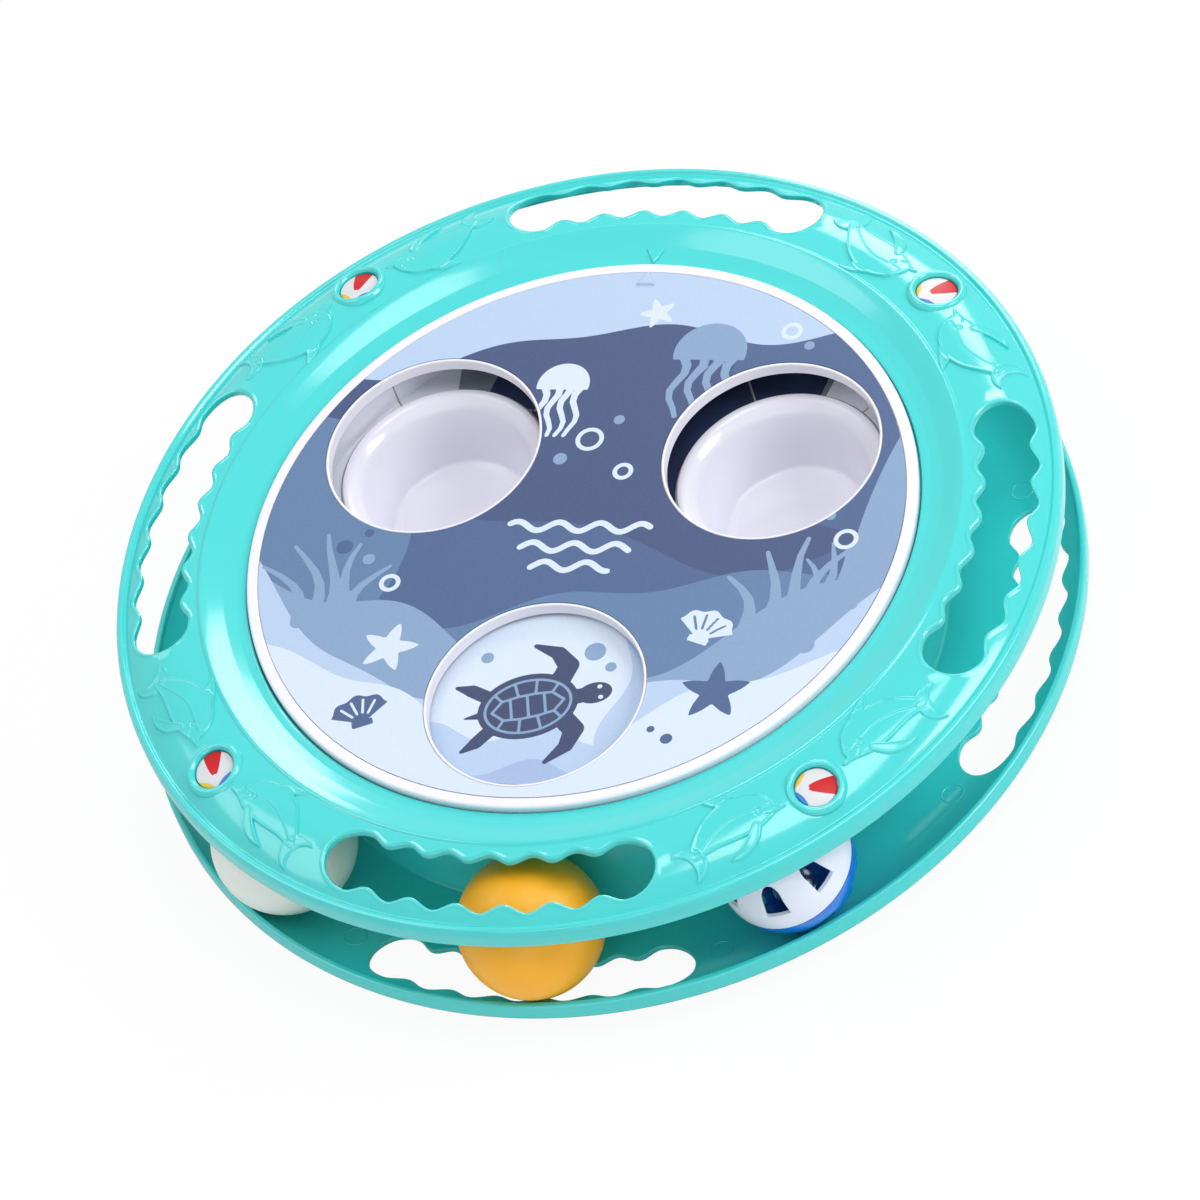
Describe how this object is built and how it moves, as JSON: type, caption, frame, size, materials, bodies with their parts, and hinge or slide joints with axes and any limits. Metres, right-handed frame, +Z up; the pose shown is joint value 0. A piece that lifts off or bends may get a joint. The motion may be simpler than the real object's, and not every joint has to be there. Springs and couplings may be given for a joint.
{
  "type": "rotating cat toy",
  "caption": "Round two-disc ball track for a cat, with a slotted rim, rolling balls, and a turntable lid with round holes over a tray that holds food bowls.",
  "frame": {"origin": "on the resting surface, on the axis of the turntable and of both discs", "axes": "+Z up along the turntable's axis, +Y to the alignment arrow, +X to the right seen from above with the arrow at the back"},
  "size_m": [0.265, 0.2659, 0.0526],
  "materials": {
    "aqua": "glossy moulded aqua plastic",
    "lid": "glossy white plastic",
    "film": "satin printed film",
    "label": "satin printed sheet",
    "tray": "pale grey plastic",
    "bowl": "glazed white",
    "bush": "natural nylon",
    "steel": "plated steel",
    "medallion": "glossy printed disc",
    "foot": "soft grey rubber",
    "orange_ball": "satin orange celluloid-like plastic",
    "white_ball": "satin off-white plastic",
    "cage_white": "glossy pale plastic",
    "cage_blue": "glossy blue plastic"
  },
  "bodies": {
    "housing": {"lower_disc": "aqua", "upper_ring": "aqua", "bowl_tray": "tray", "tray_label": "label", "picture_label": "label", "hub_washer": "steel", "hub_screw": "steel", "medallion_1": "medallion", "medallion_2": "medallion", "medallion_3": "medallion", "medallion_4": "medallion", "housing_screw_1": "steel", "housing_screw_2": "steel", "housing_screw_3": "steel", "housing_screw_4": "steel", "housing_screw_5": "steel", "housing_screw_6": "steel", "foot_1": "foot", "foot_2": "foot", "foot_3": "foot", "foot_4": "foot"},
    "hub": {"hub_bush": "bush"},
    "lid": {"lid_disc": "lid", "lid_film": "film"},
    "left_bowl": {"bowl_left": "bowl"},
    "right_bowl": {"bowl_right": "bowl"},
    "orange_ball": {"orange_ball_a": "orange_ball", "orange_ball_b": "orange_ball"},
    "white_ball": {"white_ball_a": "white_ball", "white_ball_b": "white_ball"},
    "cage_ball": {"cage_ball_white": "cage_white", "cage_ball_blue": "cage_blue"},
    "bell": {"bell_cap": "steel", "bell_base": "steel"},
    "pellet": {"bell_pellet": "steel"}
  },
  "joints": [
    {"name": "lid_spin", "type": "hinge", "parent": "housing", "child": "hub", "pos_m": [0, 0, 0.045], "axis": [0, 0, 1], "continuous": true},
    {"name": "lid_lift", "type": "slide", "parent": "hub", "child": "lid", "axis": [0, 0, 1], "range_m": [0, 0.06]},
    {"name": "left_bowl_lift", "type": "slide", "parent": "housing", "child": "left_bowl", "axis": [0, 0, 1], "range_m": [0, 0.04]},
    {"name": "right_bowl_lift", "type": "slide", "parent": "housing", "child": "right_bowl", "axis": [0, 0, 1], "range_m": [0, 0.04]},
    {"name": "orange_ball_orbit", "type": "hinge", "parent": "housing", "child": "orange_ball", "pos_m": [0, 0, 0.0243], "axis": [0, 0, 1], "range_deg": [-20, 15]},
    {"name": "white_ball_orbit", "type": "hinge", "parent": "housing", "child": "white_ball", "pos_m": [0, 0, 0.0243], "axis": [0, 0, 1], "range_deg": [-263, 20]},
    {"name": "cage_ball_orbit", "type": "hinge", "parent": "housing", "child": "cage_ball", "pos_m": [0, 0, 0.02305], "axis": [0, 0, 1], "range_deg": [-15, 263]},
    {"name": "bell_roll", "type": "hinge", "parent": "cage_ball", "child": "bell", "pos_m": [0.07106, -0.08965, 0.02305], "axis": [0.7837, 0.6211, 0], "range_deg": [-60, 60]},
    {"name": "pellet_roll", "type": "hinge", "parent": "bell", "child": "pellet", "pos_m": [0.07106, -0.08965, 0.0128], "axis": [0.6211, -0.7837, 0], "range_deg": [-60, 60]}
  ]
}
